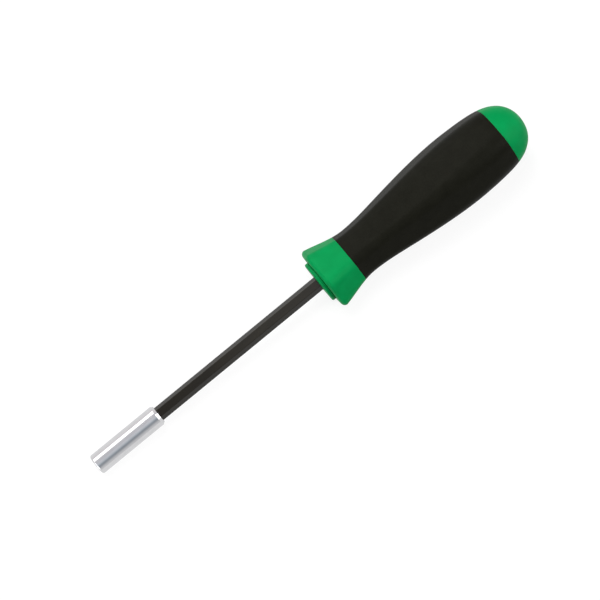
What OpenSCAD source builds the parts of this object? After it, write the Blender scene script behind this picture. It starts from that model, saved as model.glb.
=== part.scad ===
// Bit holder screwdriver: a sleeve with a magnetic hexagon socket, a hexagonal shaft, and a
// six-sided handle with round edges. All sizes are in millimetres.
// The tool lies along X. The middle of the socket's mouth is the origin, and the handle points
// to +X. Two flats of the handle face straight up and down, so that the tool lies still.

/* [Bit socket] */
// Distance across the flats of the bits that fit
bit_flats = 6.35; // [5:0.05:8]
// Play across the flats of the socket
socket_play = 0.1; // [0.05:0.05:0.3]
// Depth of the socket, from its mouth to the magnet
socket_depth = 12; // [9:0.5:18]
// How far the mouth opens past the socket's corners
mouth_flare = 0.3; // [0.1:0.05:0.5]
// Length of the cone that leads a bit into the mouth
mouth_lead = 0.7; // [0.3:0.1:1.2]

/* [Sleeve] */
// Length of the sleeve
sleeve_length = 38.1; // [30:0.1:60]
// Wall of the sleeve outside the ring's groove
sleeve_wall = 0.95; // [0.5:0.05:2]
// Radius round the sleeve's front edge
sleeve_front_round = 1; // [0.2:0.1:1.2]
// How far the sleeve's rear edge is bevelled in
sleeve_rear_bevel = 0.9; // [0.2:0.1:1.2]
// Length of that bevel
sleeve_rear_slope = 1.3; // [0.5:0.1:2.5]

/* [Retaining ring] */
// Thickness of the ring's wire
ring_wire = 1; // [0.6:0.1:1.4]
// How far the ring reaches in past the socket's corners
ring_bite = 0.45; // [0.2:0.05:0.6]
// Distance from the mouth to the middle of the ring
ring_place = 4.5; // [3:0.1:7]
// Gap between the ring's ends, in degrees
ring_opening = 60; // [30:5:120]

/* [Magnet] */
// Diameter of the magnet
magnet_d = 6.2; // [4:0.1:7]
// Length of the magnet
magnet_length = 5; // [3:0.5:10]
// Chamfer on the magnet's edges
magnet_chamfer = 0.3; // [0.1:0.1:0.6]

/* [Shaft] */
// Distance across the flats of the shaft
shaft_flats = 6.35; // [5:0.05:7.5]
// How much is rounded off each edge of the shaft
shaft_edge_loss = 0.06; // [0.02:0.01:0.2]
// Length that shows between the sleeve and the handle
shaft_shown = 97.7; // [60:0.1:200]
// Length that is set in the handle
shaft_set = 62; // [45:0.5:75]
// Turn of the shaft's flats against the handle's flats, in degrees
shaft_turn = 11; // [0:1:60]
// Span of the wings that keep the shaft from turning
wing_span = 13; // [9:0.5:16]
// Thickness of the wings
wing_thickness = 3; // [2:0.1:5]
// Length of the wings
wing_length = 10; // [6:0.5:16]
// Distance from the wings to the end of the shaft
wing_place = 6; // [3:0.5:10]

/* [Handle outline] */
// Thickness of the nose in front of the collar
nose_length = 2; // [1:0.1:4]
// Diameter of the nose
nose_d = 21.6; // [19:0.1:26]
// Radius round the nose's front edge
nose_round = 0.8; // [0.2:0.1:0.9]
// Bevel on the nose's rear edge, which leaves a groove at the collar
nose_groove = 0.35; // [0.1:0.05:0.6]
// Length of the collar
collar_length = 16.5; // [12:0.1:24]
// Distance across the flats at the collar's rim
collar_flats = 30.7; // [28:0.1:36]
// Radius round the collar's rim
collar_round = 2.2; // [1:0.1:3]
// Fall of the collar's half width for each millimetre behind the rim
collar_taper = 0.19; // [0.1:0.01:0.35]
// Length of the grip
grip_length = 91.2; // [75:0.1:120]
// Distance across the flats at the neck
neck_flats = 23.3; // [22:0.1:27]
// Distance from the collar to the neck
neck_place = 5.9; // [4:0.1:12]
// Distance across the flats where the grip swells
swell_flats = 26.5; // [24:0.1:30]
// Distance from the neck to that place
swell_place = 19.7; // [12:0.1:24]
// Rise of the half width there for each millimetre
swell_rise = 0.12; // [0.06:0.002:0.2]
// Distance across the flats at the crown
crown_flats = 34; // [30:0.1:40]
// Distance from the neck to the crown
crown_place = 65.3; // [50:0.1:75]
// Length of the end cap outside the grip
cap_length = 13.9; // [10:0.1:20]
// Length over which the end rounds off
end_curve = 8.3; // [6:0.1:12]
// Radius round the handle's six edges, from the collar back to the swell
edge_round = 6; // [4:0.1:11]
// Radius round these edges at the end cap
cap_edge_round = 11; // [6:0.1:13]

/* [Handle build] */
// Wall of the grip over the core, at the flats
grip_wall = 3; // [2:0.1:4]
// Diameter of the core inside the collar
journal_d = 16; // [14:0.1:18]
// Number of ribs that keep the grip from turning on the core
rib_count = 6; // [3:1:8]
// Height of the ribs
rib_height = 1.5; // [0.8:0.1:2]
// Thickness of the ribs
rib_thickness = 2.4; // [1.5:0.1:4]
// Width of the two keys that keep the collar from turning
key_width = 3; // [2:0.1:5]
// Height of the keys
key_height = 1.2; // [0.6:0.1:1.3]
// Diameter of the cap's spigot
spigot_d = 16; // [12:0.1:20]
// Length of the cap's spigot
spigot_length = 9; // [6:0.5:14]
// Wall of the hollow spigot
spigot_wall = 2.5; // [1.5:0.1:4]
// Gap round pressed pieces
press_gap = 0.05; // [0.02:0.01:0.1]
// Gap round moulded pieces
mould_gap = 0.03; // [0.02:0.01:0.1]
// Gap round the retaining ring
ring_gap = 0.08; // [0.05:0.01:0.2]

/* [Hidden] */
$fn = 96;
// Steps round each edge of a moulded section
edge_steps = 7;
// Largest edge radius, as a share of half the flats, so that each flat keeps some width
round_limit = 0.9;
// How far a cut runs past a face
past = 1;
// How far the shapes of one piece run into each other
overlap = 0.2;
// Flats of the handle and the shaft, the angle between two, and from a flat's middle to an edge
flat_count = 6;
flat_turn = 360 / flat_count;
flat_to_edge = flat_turn / 2;

steel = [0.86, 0.87, 0.89];
black_steel = [0.17, 0.17, 0.16];
dark_metal = [0.45, 0.45, 0.47];
green = [0.0, 0.6, 0.32];
black = [0.1, 0.1, 0.09];

// Radii inside the sleeve
hexagon_corner = 1 / cos(flat_to_edge);
socket_flats = bit_flats + socket_play;
socket_corner_r = socket_flats / 2 * hexagon_corner;
ring_inner_r = socket_corner_r - ring_bite;
ring_outer_r = ring_inner_r + ring_wire;
groove_r = ring_outer_r + ring_gap;
sleeve_r = groove_r + sleeve_wall;
groove_width = ring_wire + 2 * ring_gap;
mouth_r = socket_corner_r + mouth_flare;
seat_flats = shaft_flats + 2 * press_gap;
shaft_edge_r = shaft_flats / 2 * hexagon_corner - shaft_edge_loss;

// Places along the tool
shaft_front = socket_depth + magnet_length;
nose_front = sleeve_length + shaft_shown;
shaft_end = nose_front + shaft_set;
collar_front = nose_front + nose_length;
collar_rear = collar_front + collar_length;
cap_front = collar_rear + grip_length;
tool_length = cap_front + cap_length;
rim_x = collar_front + collar_round;
neck_x = collar_rear + neck_place;
swell_x = neck_x + swell_place;
crown_x = neck_x + crown_place;
spigot_front = cap_front - spigot_length;

// Rows of points along each moulded piece
rim_steps = 5;
collar_steps = 8;
grip_steps = 30;
cap_steps = 12;
core_steps = 16;

// Value at share u of a step of length w, from a with slope da to b with slope db
function ease(u, w, a, da, b, db) =
    (2 * u^3 - 3 * u^2 + 1) * a + (u^3 - 2 * u^2 + u) * w * da
    + (3 * u^2 - 2 * u^3) * b + (u^3 - u^2) * w * db;

// Half the distance across the flats before the end rounds off
function body_half(x) =
    x < rim_x ? collar_flats / 2 - collar_round + sqrt(max(0, collar_round^2 - (rim_x - x)^2))
    : x < neck_x ? ease((x - rim_x) / (neck_x - rim_x), neck_x - rim_x,
                        collar_flats / 2, -collar_taper, neck_flats / 2, 0)
    : x < swell_x ? ease((x - neck_x) / swell_place, swell_place,
                         neck_flats / 2, 0, swell_flats / 2, swell_rise)
    : x < crown_x ? ease((x - swell_x) / (crown_x - swell_x), crown_x - swell_x,
                         swell_flats / 2, swell_rise, crown_flats / 2, 0)
    : crown_flats / 2;

// Half the distance across the flats of the handle
function half_flats(x) = body_half(x) * sqrt(1 - exp((x - tool_length) / end_curve));

// Radius round the handle's edges, which grows from the swell to the cap
function edge_radius(x) =
    let (u = min(1, max(0, (x - swell_x) / (cap_front - swell_x))))
    ease(u, cap_front - swell_x, edge_round, 0, cap_edge_round, 0);

// Points round a six-sided section at x, along its round edges, turning from +Z to +Y
function section(x, half) =
    let (edge_r = min(edge_radius(x), round_limit * half), edge_at = (half - edge_r) * hexagon_corner)
    [for (k = [0 : flat_count - 1]) for (i = [0 : edge_steps])
     let (edge = flat_turn * (k + 1 / 2), turn = flat_turn * (k + i / edge_steps))
     [x, edge_at * sin(edge) + edge_r * sin(turn), edge_at * cos(edge) + edge_r * cos(turn)]];

// Evenly spaced places from a to b
function spaced(a, b, steps) = [for (i = [0 : steps]) a + (b - a) * i / steps];

// Rows of a moulded piece: place along X and half the distance across the flats
function rows(places) = [for (x = places) [x, half_flats(x)]];

// Turns the Z axis of its children to X
module along_x() {
    rotate([0, 90, 0]) children();
}

// Round piece from a to b along X
module round_bar(a, b, r) {
    translate([a, 0, 0]) along_x() cylinder(h = b - a, r = r);
}

// Hexagonal piece from a to b along X, turned with the shaft
module hex_bar(a, b, flats) {
    rotate([shaft_turn, 0, 0]) translate([a, 0, 0]) along_x() rotate(flat_to_edge)
        cylinder(h = b - a, d = flats * hexagon_corner, $fn = flat_count);
}

// Solid through rows of six-sided sections
module soft_hex(rows) {
    count = flat_count * (edge_steps + 1);
    points = [for (row = rows) each section(row[0], row[1])];
    sides = [for (k = [0 : len(rows) - 2]) for (i = [0 : count - 1]) let (j = (i + 1) % count)
             [k * count + i, k * count + j, (k + 1) * count + j, (k + 1) * count + i]];
    front = [for (i = [0 : count - 1]) count - 1 - i];
    rear = [for (i = [0 : count - 1]) (len(rows) - 1) * count + i];
    polyhedron(points, concat(sides, [front, rear]));
}

// Shaft with its wings, grown all round by a gap
module shaft_shape(front, gap) {
    intersection() {
        hex_bar(front, shaft_end + gap, shaft_flats + 2 * gap);
        round_bar(front, shaft_end + gap, shaft_edge_r + gap);
    }
    rotate([shaft_turn, 0, 0])
        translate([shaft_end - wing_place - wing_length - gap, -wing_span / 2 - gap,
                   -wing_thickness / 2 - gap])
            cube([wing_length + 2 * gap, wing_span + 2 * gap, wing_thickness + 2 * gap]);
}

// Outline of the core under the grip, for a revolved or a flat piece
function core_outline(reach, grow) =
    let (places = spaced(collar_rear - reach, cap_front + reach, core_steps))
    concat([[0, collar_rear - reach]], [for (x = places) [half_flats(x) - grip_wall + grow, x]],
           [[0, cap_front + reach]]);

// Core under the grip with its ribs, lengthened by reach and grown by a gap
module core_body(reach, gap) {
    along_x() rotate_extrude() polygon(core_outline(reach, gap));
    for (i = [0 : rib_count - 1])
        rotate([flat_to_edge + i * 360 / rib_count, 0, 0]) rotate([0, 90, 0]) rotate([90, 0, 0])
            translate([0, 0, -rib_thickness / 2 - gap])
                linear_extrude(rib_thickness + 2 * gap) polygon(core_outline(reach, rib_height + gap));
}

// Core inside the collar with its keys, both lengthened by a reach and grown by a gap
module journal(reach, key_reach, gap) {
    half_span = journal_d / 2 + key_height + gap;
    round_bar(collar_front - reach, collar_rear + reach, journal_d / 2 + gap);
    translate([collar_front - key_reach, -half_span, -key_width / 2 - gap])
        cube([collar_length + 2 * key_reach, 2 * half_span, key_width + 2 * gap]);
}

module bit_sleeve() {
    color(steel) difference() {
        along_x() rotate_extrude() difference() {
            square([sleeve_r, sleeve_length]);
            translate([sleeve_r - sleeve_front_round, 0]) difference() {
                square(sleeve_front_round);
                translate([0, sleeve_front_round]) circle(sleeve_front_round);
            }
            polygon([[sleeve_r - sleeve_rear_bevel, sleeve_length], [sleeve_r, sleeve_length],
                     [sleeve_r, sleeve_length - sleeve_rear_slope]]);
        }
        hex_bar(-past, socket_depth, socket_flats);
        along_x() cylinder(h = mouth_lead, r1 = mouth_r, r2 = mouth_r - mouth_lead);
        round_bar(ring_place - groove_width / 2, ring_place + groove_width / 2, groove_r);
        round_bar(socket_depth - past, shaft_front + past, magnet_d / 2 + press_gap);
        hex_bar(shaft_front, sleeve_length + past, seat_flats);
    }
}

module retaining_ring() {
    color(dark_metal) translate([ring_place, 0, 0]) along_x() rotate(ring_opening / 2)
        rotate_extrude(angle = 360 - ring_opening)
            translate([ring_inner_r + ring_wire / 2, 0]) circle(d = ring_wire);
}

module socket_magnet() {
    r = magnet_d / 2;
    color(dark_metal) translate([socket_depth, 0, 0]) along_x() rotate_extrude()
        polygon([[0, 0], [r - magnet_chamfer, 0], [r, magnet_chamfer],
                 [r, magnet_length - magnet_chamfer], [r - magnet_chamfer, magnet_length],
                 [0, magnet_length]]);
}

module hex_shaft() {
    color(black_steel) shaft_shape(shaft_front, 0);
}

module handle_core() {
    r = nose_d / 2;
    color(green) difference() {
        union() {
            translate([nose_front, 0, 0]) along_x() rotate_extrude() difference() {
                square([r, nose_length]);
                translate([r - nose_round, 0]) difference() {
                    square(nose_round);
                    translate([0, nose_round]) circle(nose_round);
                }
                polygon([[r - nose_groove, nose_length], [r, nose_length], [r, nose_length - nose_groove]]);
            }
            journal(overlap, 0, 0);
            core_body(0, 0);
        }
        shaft_shape(nose_front - past, mould_gap);
        round_bar(spigot_front - press_gap, cap_front + past, spigot_d / 2 + press_gap);
    }
}

module front_collar() {
    rim = [for (i = [0 : rim_steps - 1]) rim_x - collar_round * cos(90 * i / rim_steps)];
    color(green) difference() {
        soft_hex(rows(concat(rim, spaced(rim_x, collar_rear, collar_steps))));
        journal(past, past, press_gap);
    }
}

module grip() {
    color(black) difference() {
        soft_hex(rows(spaced(collar_rear, cap_front, grip_steps)));
        core_body(past, mould_gap);
    }
}

module end_cap() {
    dome = [for (i = [0 : cap_steps - 1]) tool_length - cap_length * (1 - i / cap_steps)^2];
    tip = [tool_length, half_flats(tool_length - cap_length / cap_steps^2) / 2];
    color(green) {
        soft_hex(concat(rows(dome), [tip]));
        difference() {
            round_bar(spigot_front, cap_front + past, spigot_d / 2);
            round_bar(spigot_front - past, cap_front, spigot_d / 2 - spigot_wall);
        }
    }
}

bit_sleeve();
retaining_ring();
socket_magnet();
hex_shaft();
handle_core();
front_collar();
grip();
end_cap();
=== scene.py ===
import math

import bmesh
import bpy
from mathutils import Matrix, Vector


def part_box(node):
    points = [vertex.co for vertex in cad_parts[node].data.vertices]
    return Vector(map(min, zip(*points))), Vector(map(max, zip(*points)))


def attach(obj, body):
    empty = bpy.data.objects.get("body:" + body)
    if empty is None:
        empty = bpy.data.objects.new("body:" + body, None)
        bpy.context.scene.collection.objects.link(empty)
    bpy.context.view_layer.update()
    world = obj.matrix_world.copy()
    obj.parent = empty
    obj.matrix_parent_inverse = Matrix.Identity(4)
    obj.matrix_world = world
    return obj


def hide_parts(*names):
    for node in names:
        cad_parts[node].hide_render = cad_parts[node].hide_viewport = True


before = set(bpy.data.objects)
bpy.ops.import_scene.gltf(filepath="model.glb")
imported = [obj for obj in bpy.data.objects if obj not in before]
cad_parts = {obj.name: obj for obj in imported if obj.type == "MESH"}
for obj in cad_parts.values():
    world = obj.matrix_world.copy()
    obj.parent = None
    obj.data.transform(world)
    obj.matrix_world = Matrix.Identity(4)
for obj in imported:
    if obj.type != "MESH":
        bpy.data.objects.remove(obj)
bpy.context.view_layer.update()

# Lengths are in millimetres, and this turns them into the frame's metres
MM = 0.001
X, Y, Z = range(3)
LOW, HIGH = range(2)


def reach(node, end, axis):
    """Lowest or highest place of a CAD node along an axis."""
    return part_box(node)[end][axis] / MM


# Places and radii from the frame
sleeve_r = reach("bit_sleeve", HIGH, Y)
collar_front = reach("front_collar", LOW, X)
collar_rear = reach("front_collar", HIGH, X)
cap_front = reach("grip", HIGH, X)
spigot_front = reach("end_cap", LOW, X)
tool_end = reach("end_cap", HIGH, X)
collar_half = reach("front_collar", HIGH, Z)

# Outline of the handle: half the distance across its flats, and places along the tool
collar_round = 2.2
collar_taper = 0.19
neck_half = 11.65
neck_place = 5.9
swell_half = 13.25
swell_place = 19.7
swell_rise = 0.12
crown_half = 17
crown_place = 65.3
end_curve = 8.3
edge_round = 6
cap_edge_round = 11
round_limit = 0.9
rim_x = collar_front + collar_round
neck_x = collar_rear + neck_place
swell_x = neck_x + swell_place
crown_x = neck_x + crown_place

# Inside of the moulded pieces: the collar and the grip clear the core's keys and ribs
collar_bore_r = 9.4
grip_wall = 1.4
spigot_r = 8
spigot_wall = 2.5

# Fine line where two moulded pieces meet
seam_depth = 0.12
seam_width = 0.2

# Points along and round the moulded pieces
flat_count = 6
flat_turn = 2 * math.pi / flat_count
edge_steps = 12
flat_steps = 8
rim_steps = 12
collar_steps = 24
grip_steps = 120
cap_steps = 40

# Edges that turn more than this are shaded as sharp
SHARP_ANGLE = math.radians(40)

# The middle of a noise, where most of its values lie
NOISE_LOW = 0.3
NOISE_HIGH = 0.7

# The photograph's view
IMAGE_SIZE = 600
SENSOR = 36
pixel_size = 0.4734
camera_distance = 1040
camera_turn = math.radians(16)
camera_foot_x = 111.2
view_centre_x = 123.9
view_centre_aside = 0.59
axis_rise = math.radians(39.34)

# Distance of the lamps over the tool, and the share of the sky's brightness that lights the tool
lamp_distance = 1100
sky_share = 0.05

# Half the side of the floor, its glow where it is seen, and its grey under the lamps
floor_half = 4000
floor_glow = 0.86
floor_grey = 0.17


def ease(u, width, a, slope_a, b, slope_b):
    """Value at share u of a step, from a with one slope to b with another."""
    return ((2 * u**3 - 3 * u**2 + 1) * a + (u**3 - 2 * u**2 + u) * width * slope_a
            + (3 * u**2 - 2 * u**3) * b + (u**3 - u**2) * width * slope_b)


def body_half(x):
    """Half the distance across the flats before the end rounds off."""
    if x < rim_x:
        return collar_half - collar_round + math.sqrt(max(0, collar_round**2 - (rim_x - x) ** 2))
    if x < neck_x:
        width = neck_x - rim_x
        return ease((x - rim_x) / width, width, collar_half, -collar_taper, neck_half, 0)
    if x < swell_x:
        return ease((x - neck_x) / swell_place, swell_place, neck_half, 0, swell_half, swell_rise)
    if x < crown_x:
        width = crown_x - swell_x
        return ease((x - swell_x) / width, width, swell_half, swell_rise, crown_half, 0)
    return crown_half


def half_flats(x):
    """Half the distance across the flats of the handle."""
    return body_half(x) * math.sqrt(1 - math.exp((x - tool_end) / end_curve))


def edge_radius(x):
    """Radius round the six edges, which grows from the swell to the cap."""
    width = cap_front - swell_x
    u = min(1, max(0, (x - swell_x) / width))
    return ease(u, width, edge_round, 0, cap_edge_round, 0)


def hexagon_ring(x, half):
    """Points round a six-sided section with round edges, turning from +Z to +Y."""
    edge_r = min(edge_radius(x), round_limit * half)
    edge_at = (half - edge_r) / math.cos(flat_turn / 2)
    corners = []
    for k in range(flat_count):
        edge = flat_turn * (k + 1 / 2)
        turns = [flat_turn * (k + i / edge_steps) for i in range(edge_steps + 1)]
        corners.append([Vector((x, edge_at * math.sin(edge) + edge_r * math.sin(turn),
                                edge_at * math.cos(edge) + edge_r * math.cos(turn)))
                        for turn in turns])
    ring = []
    for k, corner in enumerate(corners):
        following = corners[(k + 1) % flat_count]
        ring += corner
        ring += [corner[-1].lerp(following[0], i / flat_steps) for i in range(1, flat_steps)]
    return ring


def round_ring(x, r):
    """Points round a circle, one for each point of a six-sided section."""
    ring = []
    for point in hexagon_ring(x, crown_half):
        across = math.hypot(point.y, point.z)
        ring.append(Vector((x, point.y * r / across, point.z * r / across)))
    return ring


def skin_ring(x, gap):
    """Ring of the handle's outside, drawn in a little where the gap to the next piece is small."""
    drawn_in = seam_depth * max(0, 1 - gap / seam_width) ** 2
    return hexagon_ring(x, half_flats(x) - drawn_in)


def spaced(a, b, steps):
    """Evenly spaced places from a to b."""
    return [a + (b - a) * i / steps for i in range(steps + 1)]


def new_object(name, data):
    """An object in the scene."""
    thing = bpy.data.objects.new(name, data)
    bpy.context.scene.collection.objects.link(thing)
    return thing


def loft(name, rings, closed):
    """Mesh through rings of points: a closed tube back to the first ring, or a solid with two ends."""
    count = len(rings[0])
    mesh = bpy.data.meshes.new(name)
    shape = bmesh.new()
    rows = [[shape.verts.new(point * MM) for point in ring] for ring in rings]
    pairs = list(zip(rows, rows[1:]))
    if closed:
        pairs.append((rows[-1], rows[0]))
    for front, rear in pairs:
        for i in range(count):
            j = (i + 1) % count
            shape.faces.new((front[i], rear[i], rear[j], front[j]))
    if not closed:
        for row in (rows[0], rows[-1]):
            middle = shape.verts.new(sum((v.co for v in row), Vector()) / count)
            for i in range(count):
                shape.faces.new((row[i], row[(i + 1) % count], middle))
    bmesh.ops.recalc_face_normals(shape, faces=shape.faces)
    shape.to_mesh(mesh)
    shape.free()
    mesh.shade_smooth()
    mesh.set_sharp_from_angle(angle=SHARP_ANGLE)
    return new_object(name, mesh)


def dress(piece, node, material):
    """The piece stands for a CAD node, rides with the tool and takes a material."""
    piece.data.materials.append(material)
    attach(piece, "root")
    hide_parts(node)


def front_collar():
    """Flared collar with a round rim, bored for the core."""
    rim = [rim_x - collar_round * math.cos(math.pi / 2 * i / rim_steps) for i in range(rim_steps)]
    places = rim + spaced(rim_x, collar_rear - seam_width, collar_steps)
    places += [collar_rear - seam_width / 2, collar_rear]
    rings = [round_ring(collar_front, collar_bore_r)]
    rings += [skin_ring(x, collar_rear - x) for x in places]
    rings.append(round_ring(collar_rear, collar_bore_r))
    return loft("front_collar_shell", rings, closed=True)


def grip():
    """Soft skin of the handle."""
    places = spaced(collar_rear, cap_front, grip_steps)
    front_seam = [collar_rear, collar_rear + seam_width / 2, collar_rear + seam_width]
    rear_seam = [cap_front - seam_width, cap_front - seam_width / 2, cap_front]
    middle = [x for x in places if front_seam[-1] < x < rear_seam[0]]
    rings = [skin_ring(x, min(x - collar_rear, cap_front - x))
             for x in front_seam + middle + rear_seam]
    rings += [round_ring(x, half_flats(x) - grip_wall) for x in reversed(places)]
    return loft("grip_skin", rings, closed=True)


def end_cap():
    """Domed end with the hollow spigot that sits in the core."""
    hollow_r = spigot_r - spigot_wall
    seam = [cap_front, cap_front + seam_width / 2, cap_front + seam_width]
    dome = [tool_end - (tool_end - cap_front) * (1 - i / cap_steps) ** 2 for i in range(cap_steps)]
    rings = [round_ring(cap_front, hollow_r), round_ring(spigot_front, hollow_r),
             round_ring(spigot_front, spigot_r), round_ring(cap_front, spigot_r)]
    rings += [skin_ring(x, x - cap_front) for x in seam + [x for x in dome if x > seam[-1]]]
    return loft("end_cap_dome", rings, closed=False)


def new_material(name):
    """A node material, its tree and its shader."""
    material = bpy.data.materials.new(name)
    material.use_nodes = True
    return material, material.node_tree, material.node_tree.nodes["Principled BSDF"]


def set_inputs(tree, node, inputs):
    """Values or links at a node's inputs."""
    for key, value in inputs.items():
        if isinstance(value, bpy.types.NodeSocket):
            tree.links.new(value, node.inputs[key])
        else:
            node.inputs[key].default_value = value


def add(tree, kind, inputs=None, **settings):
    """A node with its settings, and with values or links at its inputs."""
    node = tree.nodes.new("ShaderNode" + kind)
    for key, value in settings.items():
        setattr(node, key, value)
    set_inputs(tree, node, inputs or {})
    return node


def noise(tree, size, stretch=(1, 1, 1), detail=3):
    """Noise with grains of a size in millimetres, drawn out along the axes by stretch."""
    spot = add(tree, "TexCoord").outputs["Object"]
    scale = [1 / (size * MM * s) for s in stretch]
    spread = add(tree, "Mapping", {"Vector": spot, "Scale": scale})
    grain = add(tree, "TexNoise", {"Vector": spread.outputs["Vector"], "Scale": 1, "Detail": detail})
    return grain.outputs["Fac"]


def shades(tree, value, *stops):
    """Colours along a value from 0 to 1. Each stop is a place and a colour."""
    band = add(tree, "ValToRGB", {"Fac": value})
    elements = band.color_ramp.elements
    while len(elements) < len(stops):
        elements.new(1)
    for element, (at, colour) in zip(elements, stops):
        element.position = at
        element.color = (*colour, 1)
    return band.outputs["Color"]


def clouded(tree, value, low, high):
    """Colours from low to high over the middle of a noise."""
    return shades(tree, value, (NOISE_LOW, low), (NOISE_HIGH, high))


def between(tree, value, low, high):
    """Values from low to high over the middle of a noise."""
    spread = add(tree, "MapRange", {"Value": value, "From Min": NOISE_LOW, "From Max": NOISE_HIGH,
                                    "To Min": low, "To Max": high})
    return spread.outputs["Result"]


def bump(tree, height, depth, strength):
    """Normals from a height whose depth is in millimetres."""
    relief = add(tree, "Bump", {"Height": height, "Distance": depth * MM, "Strength": strength})
    return relief.outputs["Normal"]


def green_plastic():
    """Satin moulded plastic with faint clouds and a fine spark-eroded skin."""
    material, tree, shader = new_material("satin_green_plastic")
    cloud = noise(tree, size=6)
    skin = noise(tree, size=0.25)
    set_inputs(tree, shader, {
        "Base Color": clouded(tree, cloud, (0.0005, 0.264, 0.068), (0.0009, 0.296, 0.078)),
        "Roughness": between(tree, noise(tree, size=2), 0.42, 0.5),
        "Specular IOR Level": 0.05,
        "Normal": bump(tree, skin, depth=0.02, strength=0.25),
    })
    return material


def black_rubber():
    """Matte soft grip with a fine grain."""
    material, tree, shader = new_material("matte_black_grip")
    grain = noise(tree, size=0.7, detail=4)
    cloud = noise(tree, size=5)
    set_inputs(tree, shader, {
        "Base Color": clouded(tree, cloud, (0.007, 0.007, 0.0047), (0.009, 0.009, 0.0062)),
        "Roughness": between(tree, grain, 0.4, 0.46),
        "Specular IOR Level": 0.037,
        "Specular Tint": (1, 0.98, 0.9, 1),
        "Normal": bump(tree, grain, depth=0.12, strength=0.7),
    })
    return material


def black_steel():
    """Hexagonal bar with a satin black finish and fine drawn lines."""
    material, tree, shader = new_material("satin_black_steel")
    drawn = noise(tree, size=0.25, stretch=(60, 1, 1))
    cloud = noise(tree, size=3, stretch=(4, 1, 1))
    set_inputs(tree, shader, {
        "Base Color": clouded(tree, cloud, (0.0042, 0.0032, 0.0014), (0.0072, 0.0056, 0.0028)),
        "Roughness": between(tree, drawn, 0.13, 0.19),
        "Specular IOR Level": 0.245,
        "Specular Tint": (1, 0.97, 0.9, 1),
        "Normal": bump(tree, drawn, depth=0.01, strength=0.3),
    })
    return material


def bright_steel():
    """Satin bright plating over fine turning lines."""
    material, tree, shader = new_material("satin_bright_plating")
    turned = noise(tree, size=0.12, stretch=(1, 40, 40))
    cloud = noise(tree, size=4)
    set_inputs(tree, shader, {
        "Base Color": clouded(tree, cloud, (0.57, 0.57, 0.58), (0.61, 0.61, 0.62)),
        "Metallic": 1,
        "Roughness": between(tree, turned, 0.055, 0.07),
        "Normal": bump(tree, turned, depth=0.001, strength=0.1),
    })
    return material


def spring_steel():
    """Drawn spring wire, a little darker where it is oiled."""
    material, tree, shader = new_material("drawn_spring_wire")
    cloud = noise(tree, size=0.8)
    fine = noise(tree, size=0.1)
    set_inputs(tree, shader, {
        "Base Color": clouded(tree, cloud, (0.30, 0.30, 0.31), (0.45, 0.45, 0.46)),
        "Metallic": 1,
        "Roughness": between(tree, fine, 0.25, 0.4),
        "Normal": bump(tree, fine, depth=0.005, strength=0.2),
    })
    return material


def magnet_plating():
    """Nickel plating on the magnet, with small scratches from bits."""
    material, tree, shader = new_material("nickel_plating")
    cloud = noise(tree, size=1.2)
    scratches = noise(tree, size=0.08, stretch=(1, 12, 1))
    set_inputs(tree, shader, {
        "Base Color": clouded(tree, cloud, (0.50, 0.49, 0.47), (0.62, 0.61, 0.59)),
        "Metallic": 1,
        "Roughness": between(tree, scratches, 0.2, 0.38),
        "Normal": bump(tree, scratches, depth=0.004, strength=0.25),
    })
    return material


def floor_lean():
    """Slope of the surface that touches the sleeve's front and the handle's belly."""
    return max(math.atan2(half_flats(x) - sleeve_r, x)
               for x in spaced(neck_x, cap_front, grip_steps))


def seen_directly(tree):
    """1 for rays of the camera, of reflections and through glass, and 0 for rays of plain light."""
    path = add(tree, "LightPath").outputs
    seen = add(tree, "Math", {0: path["Is Camera Ray"], 1: path["Is Glossy Ray"]}, operation="MAXIMUM")
    seen = add(tree, "Math", {0: seen.outputs[0], 1: path["Is Transmission Ray"]}, operation="MAXIMUM")
    return seen.outputs[0]


def floor():
    """Pale floor under the tool, as it lies on the front of the sleeve and on the handle."""
    half = floor_half * MM
    mesh = bpy.data.meshes.new("floor")
    mesh.from_pydata([(-half, -half, 0), (half, -half, 0), (half, half, 0), (-half, half, 0)],
                     [], [(0, 1, 2, 3)])
    surface = new_object("floor", mesh)
    surface.location = (0, 0, -sleeve_r * MM)
    surface.rotation_euler = (0, floor_lean(), 0)
    material = bpy.data.materials.new("pale_floor")
    material.use_nodes = True
    tree = material.node_tree
    tree.nodes.clear()
    glow_level = add(tree, "MapRange", {"Value": seen_directly(tree), "To Max": floor_glow})
    glow = add(tree, "Emission", {"Strength": glow_level.outputs["Result"]})
    matte = add(tree, "BsdfDiffuse", {"Color": (floor_grey, floor_grey, floor_grey, 1)})
    both = add(tree, "AddShader", {0: glow.outputs[0], 1: matte.outputs[0]})
    add(tree, "OutputMaterial", {"Surface": both.outputs[0]})
    mesh.materials.append(material)


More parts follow.
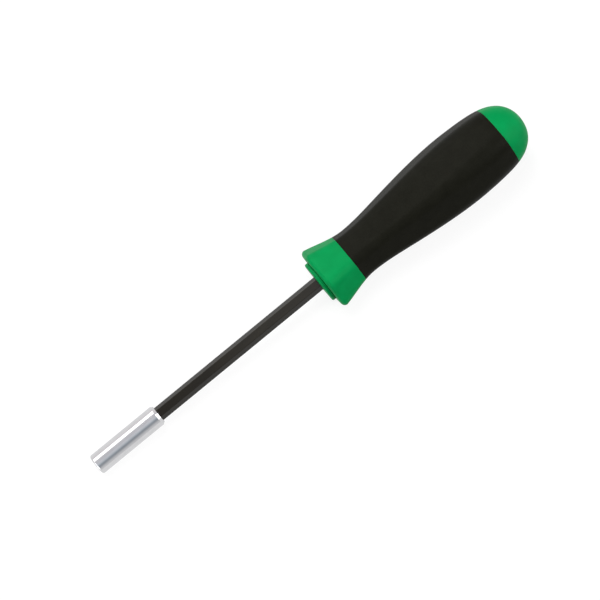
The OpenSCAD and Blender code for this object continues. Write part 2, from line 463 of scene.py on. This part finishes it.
def sky():
    """Bright surroundings of the tool, with a darker band on the camera's side."""
    world = bpy.data.worlds.new("studio")
    bpy.context.scene.world = world
    world.use_nodes = True
    tree = world.node_tree
    way = add(tree, "TexCoord").outputs["Generated"]
    parts = add(tree, "SeparateXYZ", {"Vector": way}).outputs
    lean = add(tree, "Math", {0: parts["Y"], 1: parts["Z"]}, operation="ARCTAN2")
    share = add(tree, "MapRange", {"Value": lean.outputs[0], "From Min": -math.pi, "From Max": math.pi})
    # Degrees from straight up to the far side, and the colour there
    band = [(-78, (0.82, 0.82, 0.83)), (-66, (0.67, 0.68, 0.7)), (-57, (0.5, 0.52, 0.55)),
            (-46, (0.38, 0.42, 0.46)), (-37, (0.5, 0.55, 0.6)), (-27, (0.74, 0.78, 0.83)),
            (-14, (0.87, 0.89, 0.94)), (0, (0.8, 0.8, 0.84)), (60, (0.98, 0.95, 0.96)),
            (80, (1.1, 1.07, 1.08))]
    stops = [((degrees + 180) / 360, colour) for degrees, colour in band]
    level = add(tree, "MapRange", {"Value": seen_directly(tree), "To Min": sky_share})
    set_inputs(tree, tree.nodes["Background"], {
        "Color": shades(tree, share.outputs["Result"], *stops),
        "Strength": level.outputs["Result"],
    })


def overhead(x, degrees):
    """A place round the tool's axis, turned from straight up to the far side."""
    lean = math.radians(degrees)
    return Vector((x, lamp_distance * math.sin(lean), lamp_distance * math.cos(lean)))


def along_tool(back):
    """The direction nearest to the tool's axis that is square to another one."""
    return (Vector((1, 0, 0)) - back * back.x).normalized()


def pose(place, right, up, back):
    """Matrix of a lamp or camera at a place, with its own three directions."""
    return Matrix.Translation(place * MM) @ Matrix((right, up, back)).transposed().to_4x4()


def softbox(name, place, target_x, length, width, radiance):
    """A lamp turned to a point on the tool's axis, with its length in one plane with the axis."""
    lamp = bpy.data.lights.new(name, "AREA")
    lamp.shape = "RECTANGLE"
    lamp.size = length * MM
    lamp.size_y = width * MM
    lamp.energy = radiance * math.pi * lamp.size * lamp.size_y
    back = (place - Vector((target_x, 0, 0))).normalized()
    along = along_tool(back)
    new_object(name, lamp).matrix_world = pose(place, along, back.cross(along), back)


def lamps():
    """Softboxes over the tool, and lights for its lower side and its ends."""
    softbox("front_softbox", overhead(-340, 39), target_x=-340, length=720, width=600, radiance=1.75)
    softbox("rear_softbox", overhead(315, 23), target_x=315, length=650, width=600, radiance=5.2)
    softbox("side_softbox", overhead(270, -20), target_x=270, length=440, width=890, radiance=1)
    softbox("far_softbox", overhead(230, 62), target_x=230, length=460, width=460, radiance=5)
    softbox("fill_light", overhead(900, -45), target_x=240, length=350, width=520, radiance=8.6)
    softbox("end_light", Vector((1540, -430, 480)), target_x=40, length=840, width=1340, radiance=2.3)
    softbox("nose_light", Vector((-1300, -400, 850)), target_x=140, length=1900, width=2000, radiance=1.1)
    softbox("low_light", Vector((-1200, -800, 250)), target_x=140, length=1000, width=800, radiance=2.8)


def camera():
    """The photograph's view: from above and a little to one side, with the tool rising to the right."""
    data = bpy.data.cameras.new("camera")
    data.sensor_width = SENSOR
    data.lens = SENSOR * camera_distance / (IMAGE_SIZE * pixel_size)
    data.clip_start = 0.05
    data.clip_end = 50
    to_camera = Vector((0, -math.sin(camera_turn), math.cos(camera_turn)))
    aside = Vector((0, -math.cos(camera_turn), -math.sin(camera_turn)))
    place = Vector((camera_foot_x, 0, 0)) + to_camera * camera_distance
    target = Vector((view_centre_x, 0, 0)) + aside * view_centre_aside
    back = (place - target).normalized()
    along = along_tool(back)
    across = back.cross(along)
    right = along * math.cos(axis_rise) - across * math.sin(axis_rise)
    up = along * math.sin(axis_rise) + across * math.cos(axis_rise)
    eye = new_object("camera", data)
    eye.matrix_world = pose(place, right, up, back)
    bpy.context.scene.camera = eye


# Pieces
plastic = green_plastic()
rubber = black_rubber()
dress(front_collar(), "front_collar", plastic)
dress(grip(), "grip", rubber)
dress(end_cap(), "end_cap", plastic)
cad_materials = {
    "bit_sleeve": bright_steel(),
    "retaining_ring": spring_steel(),
    "socket_magnet": magnet_plating(),
    "hex_shaft": black_steel(),
    "handle_core": plastic,
}
for node, material in cad_materials.items():
    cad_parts[node].material_slots[0].material = material

# Stage
floor()
sky()
lamps()
camera()
bpy.context.scene.view_settings.view_transform = "Standard"
